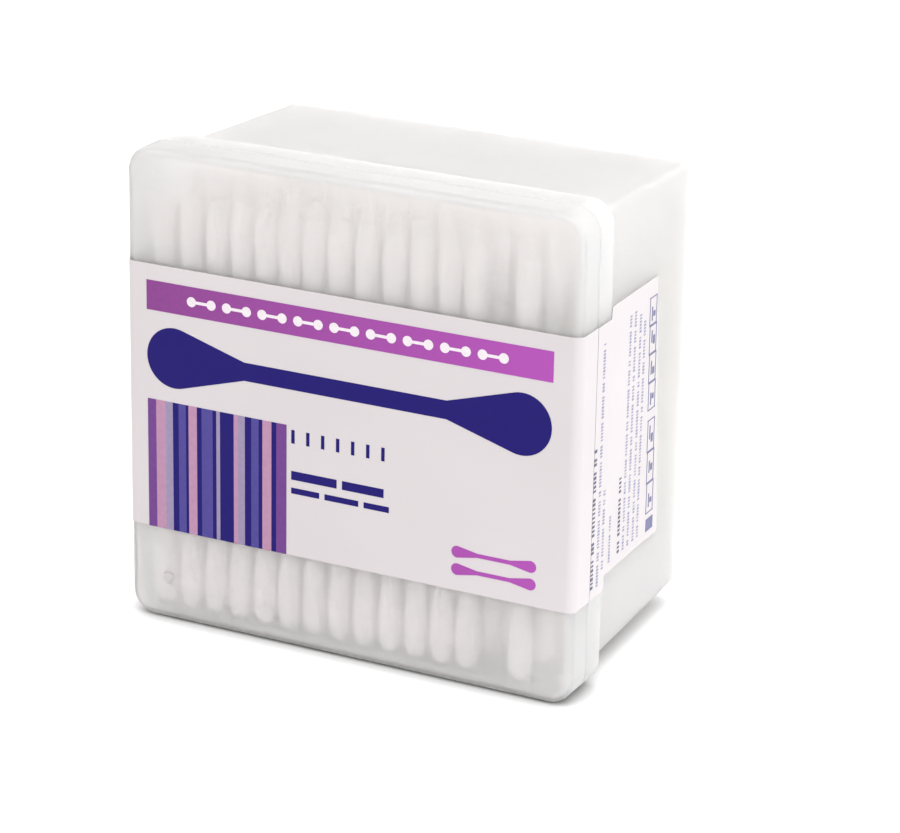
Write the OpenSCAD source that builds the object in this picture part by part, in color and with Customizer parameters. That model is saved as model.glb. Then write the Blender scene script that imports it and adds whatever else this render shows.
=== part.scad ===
// Square tub of cotton swabs with a shallow push-fit lid, standing on its side as on a shelf.
// The lid's face looks along -Y, the tub reaches back along +Y, and the swabs stand along +Z.
// The origin is under the middle of the tub, at the height of the rim's lowest edge.
// A depth is counted from the lid's face, and an inset from the outline of the rim.

/* [Rim outline] */
// Width of the lid and of the tub's rim
rim_w = 82; // [70:0.5:110]
// Height of the lid and of the tub's rim
rim_h = 81.7; // [80:0.1:110]
// Radius of the outline's corners
corner_r = 4.3; // [3.8:0.1:8]

/* [Lid] */
// Depth of the lid, from its face to the end of its skirt
lid_depth = 5.9; // [4.5:0.1:10]
// Wall of the lid
lid_wall = 0.7; // [0.6:0.05:1.2]
// Radius round the edge of the lid's face
lid_fillet = 1.5; // [1:0.1:2.5]

/* [Tub] */
// Depth of the closed pack, from the lid's face to the tub's back
pack_depth = 50.6; // [40:0.1:80]
// Wall of the tub
tub_wall = 0.7; // [0.5:0.05:0.75]
// Inset of the tub's body where it meets the rim
mouth_inset = 2.2; // [1.9:0.05:4]
// Inset of the tub's body at its back
back_inset = 3.45; // [3:0.05:6]
// Radius round the edge of the tub's back
back_fillet = 0.8; // [0.8:0.05:1]
// Radius of the corners of the tub's body
body_corner_r = 1.1; // [1.1:0.1:3]

/* [Rim of the tub] */
// Depth of the rim's turned-back skirt
rim_depth = 5.1; // [3:0.1:8]
// Thickness of the flange between the collar and the skirt
flange_t = 1; // [0.6:0.1:1.5]
// Wall of the turned-back skirt
skirt_wall = 0.7; // [0.5:0.05:1]
// Parting gap between the lid's skirt and the tub's rim
parting_gap = 0.2; // [0.1:0.05:0.4]

/* [Collar and snap] */
// Clearance between the collar and the inside of the lid
collar_clearance = 0.25; // [0.2:0.05:0.5]
// Height by which a snap bar stands out of the collar
snap_h = 0.18; // [0.1:0.01:0.19]
// Radius of a snap bar
snap_r = 0.6; // [0.5:0.05:1]
// Length of a snap bar
snap_len = 44; // [20:1:56]
// Depth of the snap grooves in the lid's skirt
groove_depth = 0.2; // [0.1:0.05:0.3]

/* [Label] */
// Thickness of the label
label_t = 0.15; // [0.1:0.01:0.3]
// Height of the label's lower edge
label_low = 16.4; // [12:0.1:20]
// Height of the label
label_h = 45.9; // [40:0.1:55]
// Depth at which the label's ends stop, along the lower edge
label_reach = 40; // [34:0.5:48]
// How much earlier the label's ends stop along the upper edge
label_slant = 4; // [0:0.5:6]
// Depth at which the label lands on the tub's wall, behind the rim
label_landing = 17; // [14:0.5:22]

/* [Print] */
// Thickness of the printed ink
ink_t = 0.05; // [0.03:0.01:0.1]
// Blank margin between the print and the sides of the lid's face
print_margin = 4.2; // [3:0.1:8]
// Distance by which the print sits left of the middle
print_shift = 0.3; // [0:0.1:1]
// Height of the purple band
band_h = 5.1; // [3:0.1:7]
// Space between the label's upper edge and the band
band_drop = 2.75; // [1:0.05:5]
// Height of the block of stripes
stripes_h = 22.6; // [15:0.1:28]
// Length of the swab emblem, as a share of the print's width
emblem_share = 1; // [0.6:0.05:1]
// Height of the swab emblem's heads
emblem_h = 10.4; // [6:0.1:12]

/* [Swabs] */
// Free height above the swabs where the tub is lowest
head_room = 1.25; // [0.3:0.05:4]
// Diameter of a paper stick
stick_d = 2.4; // [2:0.1:2.8]
// Largest diameter of a cotton head
tip_d = 4.25; // [3.8:0.05:4.4]
// Length of a cotton head
tip_len = 13.5; // [10:0.5:18]
// Cotton beyond the end of the stick
tip_cap = 1.3; // [0.8:0.1:2]
// Distance between neighbouring swabs in a row
swab_pitch = 4.7; // [4.6:0.05:5.2]
// Least free space between two heads
swab_gap = 0.1; // [0.08:0.01:0.3]
// Free space between the outer swabs and what is round them
swab_side_gap = 0.15; // [0.1:0.05:0.4]
// Clearance between a stick and the cotton wound on it
wind_clearance = 0.02; // [0.01:0.01:0.05]
// Places in the front row that have no swab
front_gaps = [13, 15];

/* [Hidden] */
$fn = 48;
front = -pack_depth / 2;
mid_z = rim_h / 2;
rim_start = lid_depth + parting_gap;
rim_end = rim_start + rim_depth;
collar_inset = lid_wall + collar_clearance;
collar_inner = collar_inset + tub_wall;
// Space between the lid's panel and the end of the collar
collar_space = 0.5;
collar_front = lid_wall + collar_space;
// How far the snap bars sit behind the middle of the collar
snap_shift = 0.5;
snap_depth = (collar_front + lid_depth) / 2 + snap_shift;
// Length by which a cut runs out of the solid
beyond = 1;
// Depth over which the cavities of the collar and the body run into each other
cavity_overlap = 0.4;
label_high = label_low + label_h;
print_w = rim_w - 2 * print_margin;
print_left = -print_w / 2 - print_shift;
band_high = label_high - band_drop;
face_of_print = front - label_t;

// Inks, by name
purple = "#99539f";
navy = "#2e2480";
violet = "#5f58a4";
pink = "#c596bb";
lilac = "#a99cc0";
plum = "#7a4d98";
cotton_white = "#fbfaf7";
paper_cream = "#ece3d0";
frosted = [0.93, 0.94, 0.95, 0.45];
label_white = "#f1f0f2";

// Stripes of the block, from left to right: width in mm, and ink
stripes = [[1.6, "plum"], [1.8, "pink"], [1.4, "lilac"], [1.1, "navy"], [1.4, "violet"], [0.5, "navy"],
           [1.6, "pink"], [0.9, "navy"], [2.1, "violet"], [0.7, "navy"], [0.7, "lilac"], [2.6, "navy"],
           [0.8, "pink"], [1.3, "lilac"], [1.2, "navy"], [1.4, "violet"], [0.7, "navy"], [1.7, "pink"],
           [0.9, "navy"], [1.9, "plum"]];

// The swabs nest in rows, each row half a pitch aside of the one before it
first_row = lid_wall + 2 * swab_side_gap + tip_d / 2;
last_row = pack_depth - tub_wall - 2 * swab_side_gap - tip_d / 2;
nest_min = sqrt(pow(tip_d + swab_gap, 2) - pow(swab_pitch / 2, 2));
rows = floor((last_row - first_row) / nest_min) + 1;

function two_digits(n) = n < 10 ? str("0", n) : str(n);
function stick_node(r) = str("sticks_", two_digits(r + 1));
function tip_node(r) = str("tips_", two_digits(r + 1));

// Inset of the tub's body at a depth: it tapers evenly from the flange to the rounded edge of the back
taper = (back_inset - mouth_inset) / (pack_depth - back_fillet - rim_start);
function body_inset(d) = mouth_inset + taper * (d - rim_start);
function inner_inset(d) = d < rim_start ? collar_inner : body_inset(d) + tub_wall;

// Rectangle with round corners, centred
module rounded(w, h, r) {
    square([w - 2 * r, h], center = true);
    square([w, h - 2 * r], center = true);
    for (x = [-1, 1], y = [-1, 1])
        translate([x * (w / 2 - r), y * (h / 2 - r)])
            circle(r);
}

// Slab with the rim's outline, inset, between two depths
module slab(inset, d0, d1, r = corner_r) {
    translate([0, front + d1, mid_z])
        rotate([90, 0, 0])
            linear_extrude(d1 - d0)
                rounded(rim_w - 2 * inset, rim_h - 2 * inset, r);
}

// The four corners of an outline at a depth, each a ring or a disc that a hull spans
module corners(inset, d, r) {
    for (x = [-1, 1], z = [-1, 1])
        translate([x * (rim_w / 2 - inset - r), front + d, mid_z + z * (rim_h / 2 - inset - r)])
            rotate([90, 0, 0])
                children();
}

// Drawn form with a rounded end face: its outline runs from one inset to another
module drawn_form(open_d, open_inset, end_d, end_inset, r, fillet) {
    side = sign(open_d - end_d);
    hull() {
        corners(open_inset, open_d, r)
            mirror([0, 0, (1 - side) / 2])
                cylinder(r1 = r, r2 = r / 2, h = r / 2, $fn = 32);
        corners(end_inset, end_d + side * fillet, r)
            rotate_extrude($fn = 32)
                intersection() {
                    translate([r - fillet, 0])
                        circle(fillet, $fn = 24);
                    translate([0, -fillet])
                        square([r, 2 * fillet]);
                }
    }
}

// Four bars along the middle of the sides, with their outer edge at an inset
module snap_bars(edge_inset, r, len) {
    sink = edge_inset + r;
    for (s = [-1, 1]) {
        translate([0, front + snap_depth, mid_z + s * (rim_h / 2 - sink)])
            rotate([0, 90, 0])
                cylinder(r = r, h = len, center = true);
        translate([s * (rim_w / 2 - sink), front + snap_depth, mid_z])
            cylinder(r = r, h = len, center = true);
    }
}

module tub() {
    color(frosted)
        difference() {
            union() {
                drawn_form(rim_start + flange_t / 2, body_inset(rim_start + flange_t / 2), pack_depth,
                           back_inset, body_corner_r, back_fillet);
                slab(collar_inset, collar_front, rim_start + flange_t / 2, corner_r - collar_inset);
                slab(0, rim_start, rim_start + flange_t);
                difference() {
                    slab(0, rim_start + flange_t / 2, rim_end);
                    slab(skirt_wall, rim_start + flange_t, rim_end + beyond, corner_r - skirt_wall);
                }
                snap_bars(collar_inset - snap_h, snap_r, snap_len);
            }
            slab(collar_inner, collar_front - beyond, rim_start, corner_r - collar_inner);
            drawn_form(rim_start - cavity_overlap, body_inset(rim_start - cavity_overlap) + tub_wall,
                       pack_depth - tub_wall, back_inset + tub_wall, body_corner_r - tub_wall,
                       back_fillet - tub_wall);
        }
}

module lid() {
    color(frosted)
        difference() {
            drawn_form(lid_depth, 0, 0, 0, corner_r, lid_fillet);
            drawn_form(lid_depth + beyond, lid_wall, lid_wall, lid_wall, corner_r - lid_wall,
                       lid_fillet - lid_wall);
            snap_bars(lid_wall - groove_depth, snap_r, snap_len + 2);
        }
}

// Plan of the lid's front, grown by a thickness: straight sides and two rounded edges
module lid_plan(grow) {
    r = lid_fillet + grow;
    for (x = [-1, 1])
        translate([x * (rim_w / 2 - lid_fillet), front + lid_fillet])
            circle(r);
    translate([-rim_w / 2 + lid_fillet, front - grow])
        square([rim_w - 2 * lid_fillet, r]);
    translate([-rim_w / 2 - grow, front + lid_fillet])
        square([rim_w + 2 * grow, lid_depth - lid_fillet]);
}

module label_front() {
    color(label_white)
        translate([0, 0, label_low])
            linear_extrude(label_h)
                difference() {
                    lid_plan(label_t);
                    lid_plan(0);
                    translate([-rim_w / 2, front + lid_fillet])
                        square([rim_w, lid_depth]);
                }
}

// Half width of the label's inner face at a depth: rim, bridge behind the rim, then the wall
function under_label(d) =
    d <= rim_end ? rim_w / 2
    : d >= label_landing ? rim_w / 2 - body_inset(d)
    : rim_w / 2 - body_inset(label_landing) * (d - rim_end) / (label_landing - rim_end);
label_bends = [rim_start, rim_end, label_landing, label_reach];

// Strip in plan that lies on the label's path, between two distances from it
module path_strip(bends, from, to) {
    inner = [for (d = bends) [under_label(d) + from, front + d]];
    outer = [for (k = [len(bends) - 1:-1:0]) [under_label(bends[k]) + to, front + bends[k]]];
    polygon(concat(inner, outer));
}

module side_label() {
    color(label_white)
        intersection() {
            translate([0, 0, label_low])
                linear_extrude(label_h)
                    path_strip(label_bends, 0, label_t);
            rotate([90, 0, 90])
                linear_extrude(rim_w)
                    polygon([[front, label_low], [front + label_reach, label_low],
                             [front + label_reach - label_slant, label_high], [front, label_high]]);
        }
}

module label_right() side_label();
module label_left() mirror([1, 0, 0]) side_label();

// Ink on the label's face, drawn in plan as seen from the front, at a level above the label
module on_face(level = 0) {
    translate([0, face_of_print - level * ink_t, 0])
        rotate([90, 0, 0])
            linear_extrude(ink_t)
                children();
}

// A swab drawn as a simple figure, lying along X and centred, with drop-shaped heads
module swab_figure(len, head_h, head_len, stick_h) {
    square([len - head_h, stick_h], center = true);
    for (s = [-1, 1])
        hull() {
            translate([s * (len - head_h) / 2, 0])
                circle(d = head_h);
            translate([s * (len / 2 - head_len), 0])
                circle(d = stick_h, $fn = 16);
        }
}

// The same figure for small marks, with round heads
module small_swab(len, head_h, stick_h) {
    square([len - head_h, stick_h], center = true);
    for (s = [-1, 1])
        translate([s * (len - head_h) / 2, 0])
            circle(d = head_h, $fn = 24);
}

band_z = band_high - band_h / 2;
emblem_z = (label_low + stripes_h + band_high - band_h) / 2;
// Length of the emblem's heads and height of its stick, each for one of the heads' height
emblem_ratio = [1.75, 0.3];

// White swabs in the band: length, height of the heads, height of the stick, distance between them
band_mark = [5.4, 1.7, 0.5];
band_mark_pitch = 6.6;
band_mark_room = 12;

// Two purple swabs in the lower right corner: length, height and length of the heads, height of the stick
count_mark = [15, 2, 4.6, 0.7];
count_mark_pitch = 3;
count_mark_place = [print_left + print_w - 9.5, label_low + 5.2];

// Bars and blocks beside the stripes, where small print would be
notes_x = print_left + stripe_start(len(stripes)) + 0.9;
note_bars = 7;
note_bar = [0.6, 2.3];
note_bar_pitch = 2.75;
note_bar_rise = 19.6;
note_blocks = [[13.3, 1.5, [8.4, 7.6]], [10.9, 1, [5.2, 6.2, 4.6]]];
note_space = 1;

module print_purple() {
    color(purple)
        on_face() {
            translate([print_left, band_high - band_h])
                square([print_w, band_h]);
            for (k = [-0.5, 0.5])
                translate([count_mark_place[0], count_mark_place[1] + k * count_mark_pitch])
                    swab_figure(count_mark[0], count_mark[1], count_mark[2], count_mark[3]);
        }
}

module print_white() {
    places = floor((print_w - band_mark_room) / band_mark_pitch);
    color(cotton_white)
        on_face(1)
            for (k = [0:places - 1])
                translate([print_left + print_w / 2 + (k - (places - 1) / 2) * band_mark_pitch, band_z])
                    small_swab(band_mark[0], band_mark[1], band_mark[2]);
}

// Distance from the block's left edge to the start of a stripe
function stripe_start(n) = n == 0 ? 0 : stripe_start(n - 1) + stripes[n - 1][0];

module stripes_in(ink) {
    on_face()
        for (n = [0:len(stripes) - 1])
            if (stripes[n][1] == ink)
                translate([print_left + stripe_start(n), label_low])
                    square([stripes[n][0], stripes_h]);
}

module print_plum() color(plum) stripes_in("plum");
module print_pink() color(pink) stripes_in("pink");
module print_lilac() color(lilac) stripes_in("lilac");
module print_violet() color(violet) stripes_in("violet");

// Total of the first blocks of a line, with the spaces between them
function blocks_before(lengths, n) = n == 0 ? 0 : blocks_before(lengths, n - 1) + lengths[n - 1] + note_space;

module notes() {
    for (k = [0:note_bars - 1])
        translate([notes_x + k * note_bar_pitch, label_low + note_bar_rise])
            square(note_bar);
    for (line = note_blocks)
        for (n = [0:len(line[2]) - 1])
            translate([notes_x + blocks_before(line[2], n), label_low + line[0]])
                square([line[2][n], line[1]]);
}

module print_navy() {
    color(navy)
        stripes_in("navy");
    color(navy)
        on_face() {
            translate([print_left + print_w / 2, emblem_z])
                swab_figure(print_w * emblem_share, emblem_h, emblem_h * emblem_ratio[0],
                            emblem_h * emblem_ratio[1]);
            notes();
        }
}

// Ink on the label's right side, between two depths, from a height above the label's lower edge
module on_side(from, to, rise, length, spare = 0) {
    translate([0, 0, label_low + rise])
        linear_extrude(length)
            path_strip([from, to], label_t - spare, label_t + ink_t + spare);
}

// Lines of small print that run up the side: depth, thickness, start and length
side_lines = [[6.4, 0.9, 1.2, 24.5], [8.4, 0.35, 2, 40], [9.8, 0.35, 2, 38], [14, 0.35, 2, 30],
              [18.7, 0.8, 2.2, 13.5], [21, 0.35, 2, 41], [22.9, 0.35, 2, 41], [24.8, 0.35, 2, 40],
              [26.7, 0.35, 2, 38]];

// A column of framed marks near the label's end, over a solid block
column_from = 30.3;
column_w = 3;
column_start = 2;
block_h = 2.6;
frame_h = 5.6;
frame_pitch = 6.4;
frame_count = 6;
frame_t = 0.25;
mark_size = [1, 1.6];

module framed_mark(rise) {
    difference() {
        on_side(column_from, column_from + column_w, rise, frame_h);
        on_side(column_from + frame_t, column_from + column_w - frame_t, rise + frame_t, frame_h - 2 * frame_t,
                ink_t);
    }
    on_side(column_from + (column_w - mark_size[0]) / 2, column_from + (column_w + mark_size[0]) / 2,
            rise + (frame_h - mark_size[1]) / 2, mark_size[1]);
}

module print_sides() {
    color(navy)
        for (line = side_lines)
            on_side(line[0], line[0] + line[1], line[2], line[3]);
    color(navy) {
        on_side(column_from, column_from + column_w, column_start, block_h);
        for (k = [0:frame_count - 1])
            framed_mark(column_start + block_h + frame_pitch - frame_h + k * frame_pitch);
    }
}

// Radius of a cotton head at a share of its length: a blunt nose, a belly and a long taper,
// down to the wind of cotton on the stick at its neck
belly = 0.34;
neck_wind = 0.25;
neck_r = stick_d / 2 + neck_wind;
function tip_r(t) =
    t < belly ? tip_d / 2 * sqrt(1 - pow(1 - t / belly, 2.4))
    : neck_r + (tip_d / 2 - neck_r) * cos(90 * (t - belly) / (1 - belly));
tip_shares = [0, 0.02, 0.07, 0.17, belly, 0.62, 0.84, 1];
swab_len = rim_h - 2 * (back_inset + tub_wall) - swab_side_gap - head_room;
stick_len = swab_len - 2 * tip_cap;

module swab_stick() {
    translate([0, 0, tip_cap])
        cylinder(d = stick_d, h = stick_len, $fn = 24);
}

// The lower head: the stick's end sits in it
module swab_tip() {
    bore = stick_d / 2 + wind_clearance;
    floor_z = tip_cap - wind_clearance;
    rotate_extrude($fn = 24)
        polygon(concat([for (t = tip_shares) [tip_r(t), t * tip_len]],
                       [[bore, tip_len], [bore, floor_z], [0, floor_z]]));
}

// The front row stands at the lid, and the others nest against the tub's back
function row_depth(r) = r == 0 ? first_row : last_row - (rows - 1 - r) * nest_min;
// Rows that start half a pitch aside hold one swab more
function row_room(d) = rim_w - 2 * inner_inset(d + tip_d / 2) - tip_d - 2 * swab_side_gap;
function row_count(r) = floor(row_room(rim_end) / swab_pitch) + (r % 2 == 0 ? 1 : 0);
function even_pitch(d) = min(swab_pitch, row_room(d) / (row_count(0) - 1));
function swab_x(r, k) = (k - (row_count(r) - 1) / 2) * even_pitch(row_depth(r));
function swab_foot(r) = inner_inset(row_depth(r) + tip_d / 2) + swab_side_gap;
// The swabs of the front row lean aside in a slow wave, as far as the gaps round their heads let them
lean_wave = 40;
lean_in_row = (swab_pitch - tip_d - swab_gap) / 2 / sin(lean_wave / 2);
clear_of_second = pow(tip_d + swab_gap / 2, 2) - pow(row_depth(1) - row_depth(0), 2);
lean_over_second = swab_pitch / 2 - sqrt(max(0, clear_of_second));
most_askew = atan(min(lean_in_row, lean_over_second) / swab_len);
function askew(r, k) = r == 0 ? most_askew * sin(k * lean_wave) : 0;

// One thing for each swab of a row, at its foot
module along_row(r) {
    for (k = [0:row_count(r) - 1])
        if (r > 0 || len(search(k, front_gaps)) == 0)
            translate([swab_x(r, k), front + row_depth(r), swab_foot(r)])
                rotate([0, askew(r, k), 0])
                    children();
}

module sticks(r) {
    color(paper_cream)
        along_row(r)
            swab_stick();
}

module tips(r) {
    color(cotton_white)
        along_row(r) {
            swab_tip();
            translate([0, 0, swab_len])
                mirror([0, 0, 1])
                    swab_tip();
        }
}

tub();
lid();
label_front();
label_left();
label_right();
print_purple();
print_white();
print_plum();
print_pink();
print_lilac();
print_navy();
print_violet();
print_sides();
for (r = [0:rows - 1]) sticks(r);
for (r = [0:rows - 1]) tips(r);
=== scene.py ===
# %% [markdown]
# # A frosted tub of cotton swabs
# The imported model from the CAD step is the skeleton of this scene: a tub, a shallow lid that pulls off, a
# band label with its print, and thirteen nested rows of swabs. This script gives each of them its look.
# Everything is in metres, and the object already stands where it should, so pieces are only added to it.

# %% Load the frame
import math

import bmesh
import bpy
from mathutils import Matrix, Vector


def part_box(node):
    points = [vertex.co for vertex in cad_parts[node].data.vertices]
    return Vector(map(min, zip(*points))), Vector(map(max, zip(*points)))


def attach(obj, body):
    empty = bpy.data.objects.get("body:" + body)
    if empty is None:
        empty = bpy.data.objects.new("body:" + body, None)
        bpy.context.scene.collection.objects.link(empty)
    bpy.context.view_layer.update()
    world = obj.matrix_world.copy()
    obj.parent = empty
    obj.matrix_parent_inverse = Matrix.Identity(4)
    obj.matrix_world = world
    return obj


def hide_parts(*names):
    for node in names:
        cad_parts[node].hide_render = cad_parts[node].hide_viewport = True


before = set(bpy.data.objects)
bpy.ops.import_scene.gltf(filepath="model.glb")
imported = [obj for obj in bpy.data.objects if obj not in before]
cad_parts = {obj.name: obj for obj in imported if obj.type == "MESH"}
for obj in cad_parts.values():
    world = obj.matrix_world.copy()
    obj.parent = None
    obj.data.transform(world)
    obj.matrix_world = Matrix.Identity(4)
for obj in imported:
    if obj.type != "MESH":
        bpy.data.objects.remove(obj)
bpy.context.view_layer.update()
print("nodes in the frame:", len(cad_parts))

# %% [markdown]
# ## Sizes that everything shares
# The rim of the lid gives the width and height of the pack, and the tub's far side gives its depth. The
# smaller sizes are those of the moulding, in millimetres, and become metres only where they are used.

# %% Read the main sizes off the frame
MM = 0.001
lid_low, lid_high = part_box("lid")
tub_low, tub_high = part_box("tub")
rim_w = (lid_high[0] - lid_low[0]) / MM
rim_h = (lid_high[2] - lid_low[2]) / MM
lid_depth = (lid_high[1] - lid_low[1]) / MM
pack_depth = (tub_high[1] - lid_low[1]) / MM
collar_front = (tub_low[1] - lid_low[1]) / MM
face_y = lid_low[1] / MM
mid_z = rim_h / 2
print(f"rim {rim_w:.1f} by {rim_h:.1f} mm, lid {lid_depth:.1f} mm deep, pack {pack_depth:.1f} mm deep")

# %% [markdown]
# ## The camera
# A pack shot from a little above and to the right, with a long lens that keeps the sides almost parallel.
# The camera is placed from the lower middle of the lid's face: so far aside, so far up and so far back along
# its own axes. That way each number says one thing about the framing.

# %% Place the camera
camera_yaw = math.radians(26.534)
camera_pitch = math.radians(19.799)
camera_roll = math.radians(1.136)
camera_aside = 17.503
camera_above = 39.81
camera_distance = 558.634
focal_pixels = 3393.86
image_width = 900

camera_back = Vector((math.sin(camera_yaw) * math.cos(camera_pitch),
                      -math.cos(camera_yaw) * math.cos(camera_pitch), math.sin(camera_pitch)))
level_right = Vector((math.cos(camera_yaw), math.sin(camera_yaw), 0))
level_up = camera_back.cross(level_right)
camera_right = level_right * math.cos(camera_roll) + level_up * math.sin(camera_roll)
camera_up = camera_back.cross(camera_right)

camera_data = bpy.data.cameras.new("camera")
camera_data.sensor_width = 36
camera_data.lens = focal_pixels * camera_data.sensor_width / image_width
camera = bpy.data.objects.new("camera", camera_data)
place = Vector((0, face_y, 0)) + camera_right * camera_aside + camera_up * camera_above
place = (place + camera_back * camera_distance) * MM
turn = Matrix((camera_right, camera_up, camera_back)).transposed()
camera.matrix_world = Matrix.Translation(place) @ turn.to_4x4()
bpy.context.scene.collection.objects.link(camera)
bpy.context.scene.camera = camera
print("camera at", [round(c / MM) for c in place], "mm, lens", round(camera_data.lens), "mm")

# %% [markdown]
# ## Helpers for materials
# Each finish is one material with a Principled BSDF. Two effects come back in almost all of them: an even
# mottling, and streaks that run one way. One small node group gives both, as a value between two limits. It
# reads Object coordinates, because each piece keeps its place in its own mesh.

# %% A node group for grain and streaks
def grain_group():
    """Noise on object coordinates: Fineness is in spots per metre, Stretch squeezes it along each axis."""
    group = bpy.data.node_groups.new("surface grain", "ShaderNodeTree")
    sockets = [("Fineness", "Float", 1000.0), ("Stretch", "Vector", (1, 1, 1)), ("Detail", "Float", 3.0),
               ("Low", "Float", 0.0), ("High", "Float", 1.0)]
    for name, kind, value in sockets:
        socket = group.interface.new_socket(name=name, in_out="INPUT", socket_type="NodeSocket" + kind)
        socket.default_value = value
    group.interface.new_socket(name="Value", in_out="OUTPUT", socket_type="NodeSocketFloat")
    inside = group.nodes.new("NodeGroupInput")
    outside = group.nodes.new("NodeGroupOutput")
    where = group.nodes.new("ShaderNodeTexCoord")
    stretch = group.nodes.new("ShaderNodeMapping")
    noise = group.nodes.new("ShaderNodeTexNoise")
    spread = group.nodes.new("ShaderNodeMapRange")
    spread.inputs["From Min"].default_value = 0.3
    spread.inputs["From Max"].default_value = 0.7
    group.links.new(where.outputs["Object"], stretch.inputs["Vector"])
    group.links.new(inside.outputs["Stretch"], stretch.inputs["Scale"])
    group.links.new(stretch.outputs["Vector"], noise.inputs["Vector"])
    group.links.new(inside.outputs["Fineness"], noise.inputs["Scale"])
    group.links.new(inside.outputs["Detail"], noise.inputs["Detail"])
    group.links.new(noise.outputs["Fac"], spread.inputs["Value"])
    group.links.new(inside.outputs["Low"], spread.inputs["To Min"])
    group.links.new(inside.outputs["High"], spread.inputs["To Max"])
    group.links.new(spread.outputs["Result"], outside.inputs["Value"])
    return group


GRAIN = grain_group()


# %% Short ways to start a material and to place its grain
def new_finish(name, **sockets):
    """A material with a Principled BSDF and the given values on its sockets."""
    finish = bpy.data.materials.new(name)
    finish.use_nodes = True
    shader = finish.node_tree.nodes["Principled BSDF"]
    for socket, value in sockets.items():
        shader.inputs[socket.replace("_", " ")].default_value = value
    return finish


def shader_of(finish):
    return finish.node_tree.nodes["Principled BSDF"]


def add_grain(finish, fineness, low=0.0, high=1.0, stretch=(1, 1, 1), detail=3.0):
    """Places the grain group in a material and returns its value."""
    node = finish.node_tree.nodes.new("ShaderNodeGroup")
    node.node_tree = GRAIN
    node.inputs["Fineness"].default_value = fineness
    node.inputs["Stretch"].default_value = stretch
    node.inputs["Detail"].default_value = detail
    node.inputs["Low"].default_value = low
    node.inputs["High"].default_value = high
    return node.outputs["Value"]


def vary_colour(finish, value, dark, light):
    """Base colour between two tones by a value."""
    ramp = finish.node_tree.nodes.new("ShaderNodeMix")
    ramp.data_type = "RGBA"
    ramp.inputs[6].default_value = (*dark, 1)
    ramp.inputs[7].default_value = (*light, 1)
    finish.node_tree.links.new(value, ramp.inputs["Factor"])
    finish.node_tree.links.new(ramp.outputs[2], shader_of(finish).inputs["Base Color"])


def vary_roughness(finish, value):
    finish.node_tree.links.new(value, shader_of(finish).inputs["Roughness"])


def add_bump(finish, height, depth_mm, strength=1.0, under=None):
    """A bump of a depth in millimetres, on top of another bump if one is given."""
    bump = finish.node_tree.nodes.new("ShaderNodeBump")
    bump.inputs["Distance"].default_value = depth_mm * MM
    bump.inputs["Strength"].default_value = strength
    finish.node_tree.links.new(height, bump.inputs["Height"])
    if under:
        finish.node_tree.links.new(under.outputs["Normal"], bump.inputs["Normal"])
    finish.node_tree.links.new(bump.outputs["Normal"], shader_of(finish).inputs["Normal"])
    return bump


def reckon(tree, operation, a, b, clamp=False):
    """One step of arithmetic in any node tree: a and b are numbers or other nodes' outputs."""
    node = tree.nodes.new("ShaderNodeMath")
    node.operation = operation
    node.use_clamp = clamp
    for socket, value in zip(node.inputs, (a, b)):
        if isinstance(value, (int, float)):
            socket.default_value = value
        else:
            tree.links.new(value, socket)
    return node.outputs["Value"]


def linear(hex_colour):
    """A colour as a shader wants it, from the way that it is written for a screen."""
    parts = [int(hex_colour[k:k + 2], 16) / 255 for k in (1, 3, 5)]
    return tuple(((c + 0.055) / 1.055) ** 2.4 if c > 0.04045 else c / 12.92 for c in parts)


# %% [markdown]
# ## Frosted polypropylene
# The tub and the lid are thin mouldings of clear polypropylene with a frosted skin. Light goes through them
# and is spread a little each time, so a thing that touches the wall is still seen and one behind it melts
# away. A rough transmission does just that. Its index is lower than the real plastic's, because at that one
# the inside of the pack renders too dark. The rest of the light scatters in the wall and makes it milky.

# %% The plastic of the tub and the lid
def frosted_plastic(name, clear, frost_low, frost_high):
    """clear is the share that lets light through. The two frosts are the limits of the skin's roughness."""
    finish = new_finish(name, Transmission_Weight=clear, IOR=1.15, Metallic=0.0, Subsurface_Weight=1.0,
                        Subsurface_Radius=(1, 1, 1), Subsurface_Scale=1.5 * MM, Coat_Weight=0.3,
                        Coat_Roughness=0.18)
    cloud = add_grain(finish, 60, 0, 1, detail=2)
    vary_colour(finish, cloud, (0.985, 0.985, 0.985), (1.0, 1.0, 1.0))
    vary_roughness(finish, add_grain(finish, 220, frost_low, frost_high, detail=4))
    swell = add_bump(finish, add_grain(finish, 45, detail=1), 0.05, 0.4)
    add_bump(finish, add_grain(finish, 2600, detail=2), 0.006, 0.5, under=swell)
    return finish


lid_plastic = frosted_plastic("frosted polypropylene lid", 0.66, 0.43, 0.51)
tub_plastic = frosted_plastic("frosted polypropylene tub", 0.64, 0.62, 0.72)
print("plastics:", lid_plastic.name, "and", tub_plastic.name)

# %% [markdown]
# ## Mouldings as lofts
# Every section across the lid or the tub is the same figure: a square with round corners, set in more or
# less from the rim. So a moulding is a list of such outlines, joined in order. The list itself comes from a
# profile: corners with an inset, a depth and a radius of rounding, as on a drawing of the section. Short
# extra rings beside each bend keep the flat walls flat when the shading is smooth.

# %% One outline of a moulding
corner_steps = 12
bar_half = 22.0
bar_ease = 0.35


def straight_side(inset_half, radius, bulge):
    """Places along one straight side, as (along, outward): only the middle stretch bulges."""
    flat = bar_half + bar_ease
    ends = [(-flat, 0.0), (-bar_half, bulge), (0.0, bulge), (bar_half, bulge), (flat, 0.0)]
    return [(along, out) for along, out in ends if abs(along) < inset_half - radius]


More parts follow.
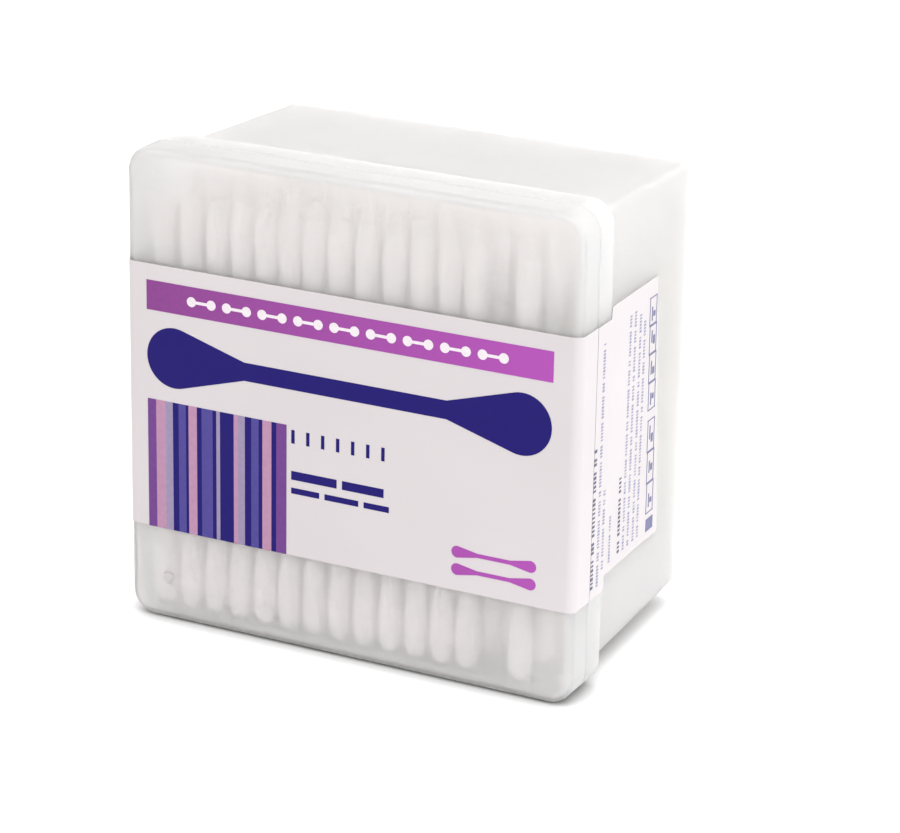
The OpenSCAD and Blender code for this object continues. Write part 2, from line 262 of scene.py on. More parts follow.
def outline(inset, depth, radius, bulge=0.0):
    """Points of a square with round corners, in metres, inset from the rim, at a depth from the face."""
    half = (rim_w / 2 - inset, rim_h / 2 - inset)
    points = []
    for side in range(4):
        out_axis, run_axis = side % 2, 1 - side % 2
        out_sign = 1 if side < 2 else -1
        run_sign = 1 if side in (0, 3) else -1
        for along, out in straight_side(half[run_axis], radius, bulge):
            point = [0.0, 0.0]
            point[out_axis] = out_sign * (half[out_axis] + out)
            point[run_axis] = run_sign * along
            points.append(point)
        centre = [0.0, 0.0]
        centre[out_axis] = out_sign * (half[out_axis] - radius)
        centre[run_axis] = run_sign * (half[run_axis] - radius)
        for step in range(corner_steps + 1):
            angle = math.radians(90 * (side + step / corner_steps))
            points.append([centre[0] + radius * math.cos(angle), centre[1] + radius * math.sin(angle)])
    return [(x * MM, (face_y + depth) * MM, (mid_z + z) * MM) for x, z in points]


# %% A profile with rounded corners
def rounded_profile(corners):
    """corners: (inset, depth, outline radius, rounding). Returns rings as (inset, depth, radius, bulge)."""
    rings = []
    for k, corner in enumerate(corners):
        here = Vector(corner[:2])
        rounding = corner[3]
        if not rounding:
            rings.append((*corner[:3], 0.0))
            continue
        back = (Vector(corners[k - 1][:2]) - here).normalized()
        ahead = (Vector(corners[k + 1][:2]) - here).normalized()
        half_angle = back.angle(ahead) / 2
        centre = here + (back + ahead).normalized() * (rounding / math.sin(half_angle))
        start = here + back * (rounding / math.tan(half_angle)) - centre
        end = here + ahead * (rounding / math.tan(half_angle)) - centre
        steps = max(3, round(rounding * 6))
        for step in range(steps + 1):
            spot = centre + start.normalized().slerp(end.normalized(), step / steps) * rounding
            rings.append((spot.x, spot.y, corner[2] + here.x - spot.x, 0.0))
    return rings


def with_support(rings, beside=0.12):
    """Adds a ring just inside both ends of each long straight stretch."""
    full = [rings[0]]
    for a, b in zip(rings, rings[1:]):
        length = math.hypot(b[0] - a[0], b[1] - a[1])
        if length > 5 * beside:
            for share in (beside / length, 1 - beside / length):
                full.append(tuple(p + (q - p) * share for p, q in zip(a, b)))
        full.append(b)
    return full


# %% From rings to a closed mesh
def as_piece(name, mesh, finish, smooth_angle=180):
    """Turns a bmesh into a smooth object with one finish. Edges sharper than the angle stay sharp."""
    bmesh.ops.recalc_face_normals(mesh, faces=mesh.faces)
    data = bpy.data.meshes.new(name)
    mesh.to_mesh(data)
    mesh.free()
    data.shade_smooth()
    data.set_sharp_from_angle(angle=math.radians(smooth_angle))
    data.materials.append(finish)
    piece = bpy.data.objects.new(name, data)
    bpy.context.scene.collection.objects.link(piece)
    print(name, "has", len(data.polygons), "faces")
    return piece


def join_loops(mesh, loops):
    """Faces between each loop of vertices and the next."""
    for a, b in zip(loops, loops[1:]):
        for k in range(len(a)):
            mesh.faces.new((a[k - 1], a[k], b[k], b[k - 1]))


def loft(name, rings, finish):
    """Joins the outlines of the rings in order and closes both ends."""
    mesh = bmesh.new()
    loops = [[mesh.verts.new(p) for p in outline(*ring)] for ring in rings]
    join_loops(mesh, loops)
    mesh.faces.new(loops[0])
    mesh.faces.new(reversed(loops[-1]))
    return as_piece(name, mesh, finish, smooth_angle=40)


# %% [markdown]
# ## The lid
# A flat panel with a soft edge all round and a short skirt. The skirt's inside has four shallow grooves,
# which take the snap bars of the collar. Its face carries a small round mark where the plastic was injected.

# %% Build the lid
lid_wall = 0.7
lid_fillet = 1.5
corner_r = 4.3
panel_inset = 4.0
edge_r = 0.2
lip_r = 0.15
snap_shift = 0.5
snap_depth = (collar_front + lid_depth) / 2 + snap_shift
snap_space = 1
snap_r = 0.6
groove_depth = 0.2


def arc_bulge(depths, radius, sink):
    """(depth, bulge) over a bar or groove of a radius that is sunk into the wall."""
    return [(snap_depth + d, math.sqrt(radius ** 2 - d ** 2) - sink) for d in depths]


def half_chord(radius, sink):
    """Half the width of a bar where it leaves its wall, a hair short so that it never dips below it."""
    return math.sqrt(radius ** 2 - sink ** 2) * 0.999


def bar_rings(inset, radius, height, backwards=False):
    """Rings over a bar that stands out of a wall at an inset, or over a groove cut into it."""
    sink = radius - height
    chord = half_chord(radius, sink)
    depths = [chord * s for s in (-1, -0.75, -0.4, 0, 0.4, 0.75, 1)]
    if backwards:
        depths.reverse()
    return [(inset, depth, corner_r - inset, bulge) for depth, bulge in arc_bulge(depths, radius, sink)]


lid_outer = [(panel_inset, 0.0, 0.5, 0),
             (0.0, 0.0, corner_r, lid_fillet),
             (0.0, lid_depth, corner_r, edge_r),
             (lid_wall, lid_depth, corner_r - lid_wall, lip_r),
             (lid_wall, snap_depth + snap_space, corner_r - lid_wall, 0)]
lid_inner = [(lid_wall, snap_depth - snap_space, corner_r - lid_wall, 0),
             (lid_wall, lid_wall, corner_r - lid_wall, lid_fillet - lid_wall),
             (panel_inset, lid_wall, 0.3, 0)]
lid_rings = rounded_profile(lid_outer) + bar_rings(lid_wall, snap_r, groove_depth, backwards=True)
lid_rings += rounded_profile(lid_inner)
lid_shell = loft("lid_shell", with_support(lid_rings), lid_plastic)
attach(lid_shell, "lid")
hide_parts("lid")

# %% Build the gate mark
gate_x, gate_z = -33.5, 7.6
gate_r = 0.9
gate_width = 0.5
gate_rise = 0.045


def flat_ring(name, x, z, radius, width, rise, finish, around=32, across=10):
    """A low round-backed ring on the lid's face, half sunk in it."""
    mesh = bmesh.new()
    loops = []
    for i in range(around):
        turn = math.tau * i / around
        loop = []
        for j in range(across):
            lean = math.tau * j / across
            out = radius + width / 2 * math.cos(lean)
            y = face_y - rise * math.sin(lean)
            loop.append(mesh.verts.new(Vector((x + out * math.cos(turn), y, z + out * math.sin(turn))) * MM))
        loops.append(loop)
    join_loops(mesh, loops + loops[:1])
    return as_piece(name, mesh, finish)


gate_mark = flat_ring("gate_mark", gate_x, gate_z, gate_r, gate_width, gate_rise, lid_plastic)
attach(gate_mark, "lid")
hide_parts("lid")

# %% [markdown]
# ## The tub
# Drawn from the inside out: the inner back, the tapering inner wall, the ledge behind the collar, the collar
# with its four snap bars, the flange, the turned-back skirt, and then the outer wall and the back. The body
# narrows towards the back so that it leaves the mould and so that tubs stack.

# %% Build the tub
tub_wall = 0.7
mouth_inset = 2.2
back_inset = 3.45
back_fillet = 0.8
body_corner_r = 1.1
parting = 0.2
rim_start = lid_depth + parting
flange_t = 1.0
rim_depth = 5.1
rim_end = rim_start + rim_depth
rim_r = 0.25
root_r = 0.3
skirt_wall = 0.7
collar_inset = 0.95
back_panel_inset = 6.5
snap_h = 0.18


def body_inset(depth):
    """Inset of the tapering body at a depth: the taper ends where the back's edge starts to round."""
    share = (depth - rim_start) / (pack_depth - back_fillet - rim_start)
    return mouth_inset + (back_inset - mouth_inset) * share


flange_back = rim_start + flange_t
collar_r = corner_r - collar_inset
inner_back = pack_depth - tub_wall
tub_inner = [(back_panel_inset, inner_back, 0.3, 0),
             (body_inset(inner_back) + tub_wall, inner_back, body_corner_r - tub_wall,
              back_fillet - tub_wall),
             (mouth_inset + tub_wall, rim_start, body_corner_r - tub_wall, edge_r),
             (collar_inset + tub_wall, rim_start, collar_r - tub_wall, edge_r),
             (collar_inset + tub_wall, collar_front, collar_r - tub_wall, edge_r),
             (collar_inset, collar_front, collar_r, rim_r),
             (collar_inset, snap_depth - snap_space, collar_r, 0)]
tub_outer = [(collar_inset, snap_depth + snap_space, collar_r, 0),
             (collar_inset, rim_start, collar_r, lip_r),
             (0.0, rim_start, corner_r, edge_r),
             (0.0, rim_end, corner_r, rim_r),
             (skirt_wall, rim_end, corner_r - skirt_wall, edge_r),
             (skirt_wall, flange_back, corner_r - skirt_wall, root_r),
             (body_inset(flange_back), flange_back, body_corner_r, root_r),
             (body_inset(pack_depth), pack_depth, body_corner_r, back_fillet),
             (back_panel_inset, pack_depth, 0.3, 0)]
tub_rings = rounded_profile(tub_inner) + bar_rings(collar_inset, snap_r, snap_h) + rounded_profile(tub_outer)
tub_shell = loft("tub_shell", with_support(tub_rings), tub_plastic)
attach(tub_shell, "tub")
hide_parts("tub")

# %% [markdown]
# ## The band label
# A satin film, printed flat and wrapped round three sides. It is smooth, but never quite flat, and it has
# the faint bloom of a matt varnish. The three solids of the frame have the right shape already, so they only
# get the film's finish.

# %% The label's film
label_film = new_finish("satin label film", IOR=1.5, Coat_Weight=0.12, Coat_Roughness=0.35)
vary_colour(label_film, add_grain(label_film, 30, detail=2), linear("#dbd6d8"), linear("#e0dbdd"))
vary_roughness(label_film, add_grain(label_film, 90, 0.42, 0.55))
label_waves = add_bump(label_film, add_grain(label_film, 70, detail=1), 0.05, 0.35)
add_bump(label_film, add_grain(label_film, 3500), 0.002, 0.4, under=label_waves)


def dress(node, finish):
    """Gives a CAD node its finish."""
    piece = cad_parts[node]
    if not piece.material_slots:
        piece.data.materials.append(finish)
    for slot in piece.material_slots:
        slot.material = finish


for node in ("label_front", "label_left", "label_right"):
    dress(node, label_film)

# %% [markdown]
# ## Printing inks
# The print is a set of solid inks, a hundredth of a millimetre thick on the real film. Up close such an ink
# is not one colour: it has a fine mottle from the press. Each ink is the same recipe with its own tone. The
# purple of the band grows lighter to the right.

# %% Mix the inks
ink_tones = {"print_plum": "#754691", "print_pink": "#bf93b2", "print_lilac": "#a094b4",
             "print_navy": "#1c1170", "print_violet": "#524b98", "print_white": "#f4edf3",
             "print_purple": "#8e4892"}


def ink(name, tone, change=0.05):
    """A satin ink with a fine mottle round its tone."""
    finish = new_finish(name, IOR=1.5, Specular_IOR_Level=0.15)
    base = linear(tone)
    dark = tuple(c * (1 - change) for c in base)
    light = tuple(min(1, c * (1 + change)) for c in base)
    vary_colour(finish, add_grain(finish, 1400, detail=4), dark, light)
    vary_roughness(finish, add_grain(finish, 300, 0.36, 0.48))
    add_bump(finish, add_grain(finish, 4000), 0.002, 0.4)
    return finish


for node, tone in ink_tones.items():
    dress(node, ink("ink " + node.removeprefix("print_"), tone))

# %% The band's change of colour from left to right
band_half = 36.0
purple_ink = bpy.data.materials["ink purple"]
nodes, links = purple_ink.node_tree.nodes, purple_ink.node_tree.links
where = nodes.new("ShaderNodeTexCoord")
split = nodes.new("ShaderNodeSeparateXYZ")
across = nodes.new("ShaderNodeMapRange")
across.inputs["From Min"].default_value = -band_half * MM
across.inputs["From Max"].default_value = band_half * MM
fade = nodes.new("ShaderNodeMix")
fade.data_type = "RGBA"
mottle = shader_of(purple_ink).inputs["Base Color"].links[0].from_node
fade.inputs[7].default_value = (*linear("#b455b8"), 1)
links.new(where.outputs["Object"], split.inputs["Vector"])
links.new(split.outputs["X"], across.inputs["Value"])
links.new(across.outputs["Result"], fade.inputs["Factor"])
links.new(mottle.outputs[2], fade.inputs[6])
links.new(fade.outputs[2], shader_of(purple_ink).inputs["Base Color"])
print("inks:", ", ".join(m.name for m in bpy.data.materials if m.name.startswith("ink")))

# %% [markdown]
# ## Small print on the side
# The label's right side carries lines of directions, far too small to read. What the eye sees is rows of
# short dark strokes, a column of framed pictures and a solid block. Short bars of changing length do that.
# A Geometry Nodes tree sets one on each place, with a fixed seed, and one call prints each kind of line.

# %% A tree that sets a stroke on each point
def socket_id(tree, name):
    """The identifier of one of the tree's inputs."""
    return next(item.identifier for item in tree.interface.items_tree
                if item.name == name and item.in_out == "INPUT")


def put_inputs(modifier, **values):
    """Sets a Geometry Nodes modifier's inputs by their names, written with underscores for spaces."""
    for name, value in values.items():
        modifier[socket_id(modifier.node_group, name.replace("_", " "))] = value


def start_tree(name, inputs):
    """A Geometry Nodes tree with named inputs, and its first and last nodes."""
    tree = bpy.data.node_groups.new(name, "GeometryNodeTree")
    tree.interface.new_socket(name="Geometry", in_out="INPUT", socket_type="NodeSocketGeometry")
    for label, kind, value in inputs:
        item = tree.interface.new_socket(name=label, in_out="INPUT", socket_type="NodeSocket" + kind)
        if value is not None:
            item.default_value = value
    tree.interface.new_socket(name="Geometry", in_out="OUTPUT", socket_type="NodeSocketGeometry")
    return tree, tree.nodes.new("NodeGroupInput"), tree.nodes.new("NodeGroupOutput")


def named_vector(tree, name):
    """A vector that each point carries under a name."""
    node = tree.nodes.new("GeometryNodeInputNamedAttribute")
    node.data_type = "FLOAT_VECTOR"
    node.inputs["Name"].default_value = name
    return node.outputs["Attribute"]


def stroke_tree():
    """A block on each point, as wide as the point's size says and of a length drawn by chance."""
    tree, given, result = start_tree("strokes along points", [
        ("Thickness", "Float", 0.05 * MM), ("Least length", "Float", 0.3), ("Most length", "Float", 0.9),
        ("Seed", "Int", 1), ("Finish", "Material", None)])
    link = tree.links.new
    block = tree.nodes.new("GeometryNodeMeshCube")
    place = tree.nodes.new("GeometryNodeInstanceOnPoints")
    chance = tree.nodes.new("FunctionNodeRandomValue")
    chance.data_type = "FLOAT"
    parts = tree.nodes.new("ShaderNodeSeparateXYZ")
    scale = tree.nodes.new("ShaderNodeCombineXYZ")
    turn_it = tree.nodes.new("FunctionNodeEulerToRotation")
    realize = tree.nodes.new("GeometryNodeRealizeInstances")
    paint = tree.nodes.new("GeometryNodeSetMaterial")
    link(given.outputs["Geometry"], place.inputs["Points"])
    link(block.outputs["Mesh"], place.inputs["Instance"])
    link(given.outputs["Least length"], chance.inputs[2])
    link(given.outputs["Most length"], chance.inputs[3])
    link(given.outputs["Seed"], chance.inputs["Seed"])
    link(named_vector(tree, "size"), parts.inputs["Vector"])
    link(given.outputs["Thickness"], scale.inputs["X"])
    link(parts.outputs["Y"], scale.inputs["Y"])
    link(reckon(tree, "MULTIPLY", parts.outputs["Z"], chance.outputs[1]), scale.inputs["Z"])
    link(scale.outputs["Vector"], place.inputs["Scale"])
    link(named_vector(tree, "turn"), turn_it.inputs["Euler"])
    link(turn_it.outputs["Rotation"], place.inputs["Rotation"])
    link(place.outputs["Instances"], realize.inputs["Geometry"])
    link(realize.outputs["Geometry"], paint.inputs["Geometry"])
    link(given.outputs["Finish"], paint.inputs["Material"])
    link(paint.outputs["Geometry"], result.inputs["Geometry"])
    return tree


STROKES = stroke_tree()


# %% Turn points with attributes into a finished piece
def grow(name, points, attributes, tree, **values):
    """Makes a mesh of points, runs a tree on it and returns the result as a plain object."""
    seeds = bpy.data.meshes.new(name + " places")
    seeds.from_pydata(points, [], [])
    for label, vectors in attributes.items():
        layer = seeds.attributes.new(label, "FLOAT_VECTOR", "POINT")
        layer.data.foreach_set("vector", [c for v in vectors for c in v])
    holder = bpy.data.objects.new(name + " maker", seeds)
    bpy.context.scene.collection.objects.link(holder)
    modifier = holder.modifiers.new(tree.name, "NODES")
    modifier.node_group = tree
    put_inputs(modifier, **values)
    bpy.context.view_layer.update()
    depsgraph = bpy.context.evaluated_depsgraph_get()
    data = bpy.data.meshes.new_from_object(holder.evaluated_get(depsgraph))
    data.name = name
    for attribute in [a.name for a in data.attributes if a.name in attributes]:
        data.attributes.remove(data.attributes[attribute])
    holder.modifiers.clear()
    bpy.data.objects.remove(holder)
    piece = bpy.data.objects.new(name, data)
    bpy.context.scene.collection.objects.link(piece)
    print(name, "has", len(points), "places and", len(data.polygons), "faces")
    return piece


# %% Places of the strokes on the label's right side
label_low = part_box("label_right")[0][2] / MM
label_t = 0.15
label_landing = 17.0


def label_skin(depth):
    """Distance from the middle to the label's outer skin: rim, bridge, then the tapering wall."""
    if depth <= rim_end:
        return rim_w / 2 + label_t
    if depth >= label_landing:
        return rim_w / 2 - body_inset(depth) + label_t
    return rim_w / 2 + label_t - body_inset(label_landing) * (depth - rim_end) / (label_landing - rim_end)


def skin_turn(depth, beside=0.3):
    """Turn about Z that lays a bar on the skin at a depth."""
    return math.atan2(label_skin(depth - beside) - label_skin(depth + beside), 2 * beside)


def on_skin(depth, rise):
    """A place just on the skin, at a depth and at a rise over the label's lower edge."""
    return ((label_skin(depth) + ink_rise) * MM, (face_y + depth) * MM, (label_low + rise) * MM)


# A line is the depth of its middle, its letters' height, its start and length, and its letters' pitch
headings = [(6.5, 0.9, 1.8, 24.5, 0.75), (22.7, 0.85, 1.9, 13.7, 0.75)]
small_lines = [(8.6, 0.7, 1.6, 41.5, 0.55), (10.4, 0.7, 4.0, 14.0, 0.55), (18.9, 0.6, 1.6, 9.0, 0.55),
               (24.8, 0.7, 1.7, 41.0, 0.55), (26.8, 0.7, 1.8, 41.0, 0.55), (29.0, 0.7, 1.8, 40.0, 0.55),
               (30.9, 0.7, 1.8, 38.0, 0.55)]
word_lengths = (7, 3, 9, 5, 2, 8, 4, 6)
ink_rise = 0.024


def strokes_of(lines):
    """Places, sizes and turns of the strokes of some lines, with a gap after each word."""
    places, sizes, turns = [], [], []
    for number, (depth, height, start, length, pitch) in enumerate(lines):
        word, letters_left = number, word_lengths[number]
        for k in range(int(length / pitch)):
            if letters_left == 0:
                word += 1
                letters_left = word_lengths[word % len(word_lengths)]
                continue
            letters_left -= 1
            places.append(on_skin(depth, start + (k + 0.5) * pitch))
            sizes.append((0, height * MM, pitch * MM))
            turns.append((0, 0, skin_turn(depth)))
    return places, {"size": sizes, "turn": turns}


print("strokes of small print:", sum(len(strokes_of(lines)[0]) for lines in (headings, small_lines)))

# %% Frames of the small pictures and the solid block
picture_w = 3.0
picture_line = 0.18
line_inset = 0.1
block_rise = 2.5
block_length = 2.2
column_foot = 36.3
column_lean = 0.049
picture_frames = [(4.6, 5.5), (10.1, 5.6), (15.7, 5.7), (23.1, 4.9), (28.0, 5.0), (33.0, 5.0), (38.0, 4.9)]


def bar(aside, rise, width, length):
    """One bar of the picture column: aside of its middle line and at a rise over the label's lower edge."""
    depth = column_foot - column_lean * rise + aside
    return on_skin(depth, rise), (0, width * MM, length * MM), (0, 0, skin_turn(depth))


picture_bars = [bar(0, block_rise, picture_w, block_length)]
# In each frame an upright bar and a small block stand for the picture, and differ a little between frames
for k, (start, length) in enumerate(picture_frames):
    middle = start + length / 2
    side = picture_w / 2 - line_inset
    picture_bars += [bar(-side, middle, picture_line, length), bar(side, middle, picture_line, length),
                     bar(0, start + line_inset, picture_w, picture_line),
                     bar(0, start + length - line_inset, picture_w, picture_line),
                     bar(-0.4, middle + 0.5 * (k % 3) - 0.5, 0.35, 2.4 - 0.3 * (k % 2)),
                     bar(0.45, middle - 0.6 + 0.4 * (k % 2), 0.8, 0.9 + 0.3 * (k % 3))]

# %% Print the side
heading_ink = ink("ink slate dark", "#62627c", 0.08)
line_ink = ink("ink slate light", "#9c9cba", 0.08)
picture_ink = ink("ink slate", "#75759c", 0.08)
side_headings = grow("side_headings", *strokes_of(headings), STROKES,
                     Thickness=0.05 * MM, Least_length=0.35, Most_length=0.75, Seed=4, Finish=heading_ink)
small_print = grow("small_print", *strokes_of(small_lines), STROKES,
                   Thickness=0.05 * MM, Least_length=0.3, Most_length=0.7, Seed=5, Finish=line_ink)
picture_column = grow("picture_column", [b[0] for b in picture_bars],
                      {"size": [b[1] for b in picture_bars], "turn": [b[2] for b in picture_bars]}, STROKES,
                      Thickness=0.05 * MM, Least_length=1.0, Most_length=1.0, Seed=4, Finish=picture_ink)
for piece in (side_headings, small_print, picture_column):
    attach(piece, "tub")
    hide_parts("print_sides")

# %% [markdown]
# ## Cotton heads
# A head is a band of cotton wound round the end of the stick and pressed to a drop. No two are alike, and
# none is quite round. A Geometry Nodes tree turns a short line into the drop by giving it a radius along its
# length, sets one on each place and then pushes the surface in and out by a noise that differs everywhere.
# The front rows, which the open tub shows, get a fine mesh and the rest a coarse one.

# %% The material of wound cotton
cotton = new_finish("wound cotton", Sheen_Weight=0.25, Sheen_Roughness=0.5, IOR=1.4, Roughness=0.95,
                    Specular_IOR_Level=0.15)
wound = add_grain(cotton, 420, stretch=(1, 1, 4.5), detail=5)
fluff = add_grain(cotton, 1500, stretch=(1, 1, 2), detail=5)
vary_colour(cotton, wound, (0.885, 0.84, 0.825), (0.94, 0.905, 0.89))
turns = add_bump(cotton, wound, 0.15, 0.5)
add_bump(cotton, fluff, 0.08, 0.7, under=turns)


# %% A tree that winds cotton heads on places
def cotton_tree():
    """A drop of cotton on each point. Its rings crowd at the nose, and a noise pushes its surface about."""
    tree, given, result = start_tree("wound cotton heads", [
        ("Head length", "Float", 13.5 * MM), ("Head radius", "Float", 2.125 * MM), ("Rings", "Int", 8),
        ("Sides", "Int", 12), ("Lumps", "Float", 0.1 * MM), ("Seed", "Int", 1), ("Finish", "Material", None)])
    link = tree.links.new
    spine = tree.nodes.new("GeometryNodeCurvePrimitiveLine")
    spine.mode = "POINTS"
    spine.inputs["End"].default_value = (0, 0, 1)
    cut = tree.nodes.new("GeometryNodeResampleCurve")
    cut.mode = "COUNT"
    link(spine.outputs["Curve"], cut.inputs["Curve"])
    link(given.outputs["Rings"], cut.inputs["Count"])
    along = tree.nodes.new("GeometryNodeSplineParameter").outputs["Factor"]
    crowd = reckon(tree, "POWER", along, 1.8)
    height = reckon(tree, "MULTIPLY", crowd, given.outputs["Head length"])
    spot = tree.nodes.new("ShaderNodeCombineXYZ")
    link(height, spot.inputs["Z"])
    gather = tree.nodes.new("GeometryNodeSetPosition")
    link(cut.outputs["Curve"], gather.inputs["Geometry"])
    link(spot.outputs["Vector"], gather.inputs["Position"])
    drop = tree.nodes.new("ShaderNodeFloatCurve")
    points = drop.mapping.curves[0].points
    for place_at, value in ((0.02, 0.4), (0.07, 0.68), (0.17, 0.91), (0.34, 1.0), (0.62, 0.93), (0.84, 0.8)):
        points.new(place_at, value)
    points[0].location = (0, 0.12)
    points[-1].location = (1, 0.66)
    drop.mapping.update()
    link(along, drop.inputs["Value"])
    width = reckon(tree, "MULTIPLY", drop.outputs["Value"], given.outputs["Head radius"])
    ring = tree.nodes.new("GeometryNodeCurvePrimitiveCircle")
    ring.mode = "RADIUS"
    ring.inputs["Radius"].default_value = 1
    link(given.outputs["Sides"], ring.inputs["Resolution"])
    skin = tree.nodes.new("GeometryNodeCurveToMesh")
    skin.inputs["Fill Caps"].default_value = True
    link(gather.outputs["Geometry"], skin.inputs["Curve"])
    link(ring.outputs["Curve"], skin.inputs["Profile Curve"])
    link(width, skin.inputs["Scale"])
    place = tree.nodes.new("GeometryNodeInstanceOnPoints")
    turn_it = tree.nodes.new("FunctionNodeEulerToRotation")
    link(given.outputs["Geometry"], place.inputs["Points"])
    link(skin.outputs["Mesh"], place.inputs["Instance"])
    link(named_vector(tree, "turn"), turn_it.inputs["Euler"])
    link(turn_it.outputs["Rotation"], place.inputs["Rotation"])
    realize = tree.nodes.new("GeometryNodeRealizeInstances")
    link(place.outputs["Instances"], realize.inputs["Geometry"])
    noise = tree.nodes.new("ShaderNodeTexNoise")
    noise.noise_dimensions = "4D"
    noise.inputs["Scale"].default_value = 330
    noise.inputs["Detail"].default_value = 2
    link(given.outputs["Seed"], noise.inputs["W"])
    push = reckon(tree, "SUBTRACT", noise.outputs["Fac"], 0.55)
    push = reckon(tree, "MULTIPLY", push, given.outputs["Lumps"])
    facing = tree.nodes.new("GeometryNodeInputNormal")
    offset = tree.nodes.new("ShaderNodeVectorMath")
    offset.operation = "SCALE"
    link(facing.outputs["Normal"], offset.inputs[0])
    link(push, offset.inputs["Scale"])
    rough = tree.nodes.new("GeometryNodeSetPosition")
    link(realize.outputs["Geometry"], rough.inputs["Geometry"])
    link(offset.outputs["Vector"], rough.inputs["Offset"])
    soft = tree.nodes.new("GeometryNodeSetShadeSmooth")
    paint = tree.nodes.new("GeometryNodeSetMaterial")
    link(rough.outputs["Geometry"], soft.inputs["Geometry"])
    link(soft.outputs["Geometry"], paint.inputs["Geometry"])
    link(given.outputs["Finish"], paint.inputs["Material"])
    link(paint.outputs["Geometry"], result.inputs["Geometry"])
    return tree


COTTON_HEADS = cotton_tree()

# %% [markdown]
# ## Where the heads go
# The frame says where each swab stands. The front row leans in a slow wave and has two gaps, so nothing is
# assumed: the swabs are found one by one from the sticks of the frame, which are separate islands of the
# mesh of their row, and each stick's two ends give the place and the lean of its heads.

# %% Find every stick in the frame
def islands(node):
    """Vertices of a CAD node, grouped by the solid that they belong to."""
    mesh = bmesh.new()
    mesh.from_mesh(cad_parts[node].data)
    bmesh.ops.remove_doubles(mesh, verts=mesh.verts, dist=1e-6)
    left = set(mesh.verts)
    groups = []
    while left:
        group, edge = [], [left.pop()]
        while edge:
            vert = edge.pop()
            group.append(vert.co.copy())
            for link in vert.link_edges:
                other = link.other_vert(vert)
                if other in left:
                    left.remove(other)
                    edge.append(other)
        groups.append(group)
    mesh.free()
    return groups


def stick_ends(group):
    """Middle of a stick's lower end and of its upper end."""
    low = min(p.z for p in group)
    high = max(p.z for p in group)
    middle = (low + high) / 2
    ends = []
    for part in ([p for p in group if p.z < middle], [p for p in group if p.z > middle]):
        ends.append(sum(part, Vector()) / len(part))
    return ends


row_nodes = sorted(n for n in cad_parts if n.startswith("sticks_"))
swabs = {node: [stick_ends(group) for group in islands(node)] for node in row_nodes}
print("sticks found:", sum(len(row) for row in swabs.values()), "in", len(swabs), "rows")

# %% Wind the heads
tip_cap = 1.3
front_rows = 2


def head_places(rows):
    """Places and turns of both heads of each swab: the nose is at the place and the neck along +Z."""
    places, turns = [], []
    for low, high in (ends for node in rows for ends in swabs[node]):
        axis = (high - low).normalized()
        for nose, way in ((low - axis * tip_cap * MM, axis), (high + axis * tip_cap * MM, -axis)):
            places.append(tuple(nose))
            turns.append(tuple(way.to_track_quat("Z", "Y").to_euler()))
    return places, turns


for name, rows, rings, sides, lumps in (("cotton_front", row_nodes[:front_rows], 14, 20, 0.3),
                                        ("cotton_rows", row_nodes[front_rows:], 7, 9, 0.25)):
    places, turns = head_places(rows)
    heads = grow(name, places, {"turn": turns}, COTTON_HEADS, Rings=rings, Sides=sides, Lumps=lumps * MM,
                 Head_radius=2.13 * MM, Seed=3, Finish=cotton)
    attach(heads, "tub")
    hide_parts(*[row.replace("sticks", "tips") for row in rows])

# %% [markdown]
# ## Paper sticks
# Each stick is a strip of cream paper rolled tight and glued. It is dull, with faint long fibres, and its
# colour drifts a little from stick to stick. The frame's cylinders stay and get this finish.

# %% The paper of the sticks
stick_paper = new_finish("rolled paper", IOR=1.45, Roughness=0.8)
fibres = add_grain(stick_paper, 900, stretch=(1, 1, 0.12), detail=4)
vary_colour(stick_paper, fibres, linear("#efe8da"), linear("#f6f0e4"))
vary_roughness(stick_paper, add_grain(stick_paper, 500, 0.7, 0.85))
add_bump(stick_paper, fibres, 0.03, 0.5)
for node in row_nodes:
    dress(node, stick_paper)

# %% [markdown]
# ## Floor, backdrop and light
# A pack shot on white. The world is a bright, slightly warm room, and two large soft lamps add light from
# above and from the right, so that the side and the top are a little whiter than the face. The camera sees
# the world as plain white. The floor is white paper with a painted contact shadow: where the pack comes
# close, ambient occlusion darkens its colour for the camera and dims its glow. It glows for the camera, so
# that it joins the white behind it, and less for what shines through the plastic.

# %% The room
scene = bpy.context.scene
scene.view_settings.view_transform = "Standard"
scene.cycles.max_bounces = 24
scene.cycles.diffuse_bounces = 10
scene.cycles.glossy_bounces = 8
scene.cycles.transmission_bounces = 20
world = bpy.data.worlds.new("white room")
world.use_nodes = True
scene.world = world
room = world.node_tree
background = room.nodes["Background"]
paths = room.nodes.new("ShaderNodeLightPath")
through = reckon(room, "MAXIMUM", paths.outputs["Is Glossy Ray"], paths.outputs["Is Transmission Ray"])
room_light = (0.9, 0.86, 0.86, 1)
room_in_plastic = (1.035, 1.0, 0.99, 1)
room_seen = (1, 1, 1, 1)


def room_mix(factor, first, second):
    """A mix of two colours in the world; the first may be another mix."""
    mix = room.nodes.new("ShaderNodeMix")
    mix.data_type = "RGBA"
    room.links.new(factor, mix.inputs["Factor"])
    if isinstance(first, tuple):
        mix.inputs[6].default_value = first
    else:
        room.links.new(first, mix.inputs[6])
    mix.inputs[7].default_value = second
    return mix.outputs[2]


lit = room_mix(through, room_light, room_in_plastic)
room.links.new(room_mix(paths.outputs["Is Camera Ray"], lit, room_seen), background.inputs["Color"])


# %% Two soft lamps
def soft_lamp(name, place, aim, size, power, colour):
    """A square lamp that looks from a place to a point, both in millimetres."""
    data = bpy.data.lights.new(name, "AREA")
    data.shape = "SQUARE"
    data.size = size * MM
    data.energy = power
    data.color = colour
    lamp = bpy.data.objects.new(name, data)
    lamp.location = Vector(place) * MM
    lamp.rotation_euler = (Vector(aim) - Vector(place)).to_track_quat("-Z", "Y").to_euler()
    scene.collection.objects.link(lamp)


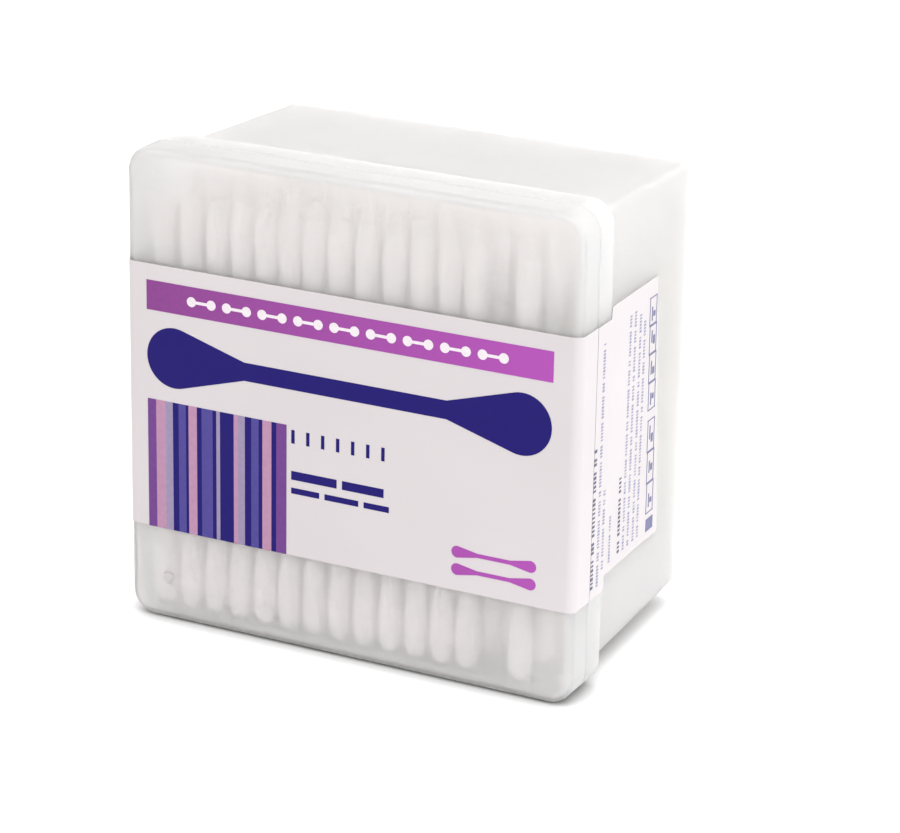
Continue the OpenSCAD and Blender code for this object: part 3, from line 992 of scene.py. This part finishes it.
pack_middle = (0, 0, 40)
soft_lamp("lamp above", (100, 60, 700), pack_middle, 700, 2.8, (0.95, 1.0, 0.98))
soft_lamp("lamp right", (600, -160, 300), pack_middle, 500, 1.04, (0.92, 0.98, 1.0))

# %% The floor
reach = 2.5
floor_drop = 0.02
floor_mesh = bpy.data.meshes.new("floor")
floor_mesh.from_pydata([(-reach, -reach, 0), (reach, -reach, 0), (reach, reach, 0), (-reach, reach, 0)],
                       [], [(0, 1, 2, 3)])
floor = bpy.data.objects.new("floor", floor_mesh)
scene.collection.objects.link(floor)
floor.location.z = -floor_drop * MM

# %% The floor's paper, with a painted contact shadow
paper_tone = (0.84, 0.84, 0.84, 1)
painted_shadow_reach = 6.0
painted_shadow_falloff = 1.35
floor_glow = 0.46
glow_in_plastic = 0.7
paper = new_finish("white floor paper", Roughness=0.9, Specular_IOR_Level=0.1)
vary_roughness(paper, add_grain(paper, 40, 0.85, 0.95))
nodes, links = paper.node_tree.nodes, paper.node_tree.links
floor_paths = nodes.new("ShaderNodeLightPath").outputs
# Painted contact shadow: ambient occlusion within a few millimetres of the pack darkens the paper's colour
# for the camera.
painted_contact_shadow = nodes.new("ShaderNodeAmbientOcclusion")
painted_contact_shadow.samples = 8
painted_contact_shadow.inputs["Distance"].default_value = painted_shadow_reach * MM
painted_contact_shadow.inputs["Color"].default_value = paper_tone
shade = nodes.new("ShaderNodeMix")
shade.data_type = "RGBA"
shade.inputs[6].default_value = paper_tone
links.new(floor_paths["Is Camera Ray"], shade.inputs["Factor"])
links.new(painted_contact_shadow.outputs["Color"], shade.inputs[7])
links.new(shade.outputs[2], shader_of(paper).inputs["Base Color"])
glimpsed = reckon(paper.node_tree, "MAXIMUM", floor_paths["Is Glossy Ray"],
                  floor_paths["Is Transmission Ray"])
glimpsed = reckon(paper.node_tree, "MULTIPLY", glimpsed, glow_in_plastic)
shown = reckon(paper.node_tree, "MAXIMUM", floor_paths["Is Camera Ray"], glimpsed)
# The painted contact shadow dims the glow as well, and lets it back to full a little way from the pack.
outside_painted_shadow = reckon(paper.node_tree, "MULTIPLY", painted_contact_shadow.outputs["AO"], painted_shadow_falloff, clamp=True)
glow_outside_painted_shadow = reckon(paper.node_tree, "MULTIPLY", shown, outside_painted_shadow)
glow = reckon(paper.node_tree, "MULTIPLY", glow_outside_painted_shadow, floor_glow)
links.new(glow, shader_of(paper).inputs["Emission Strength"])
shader_of(paper).inputs["Emission Color"].default_value = (1, 1, 1, 1)
floor_mesh.materials.append(paper)
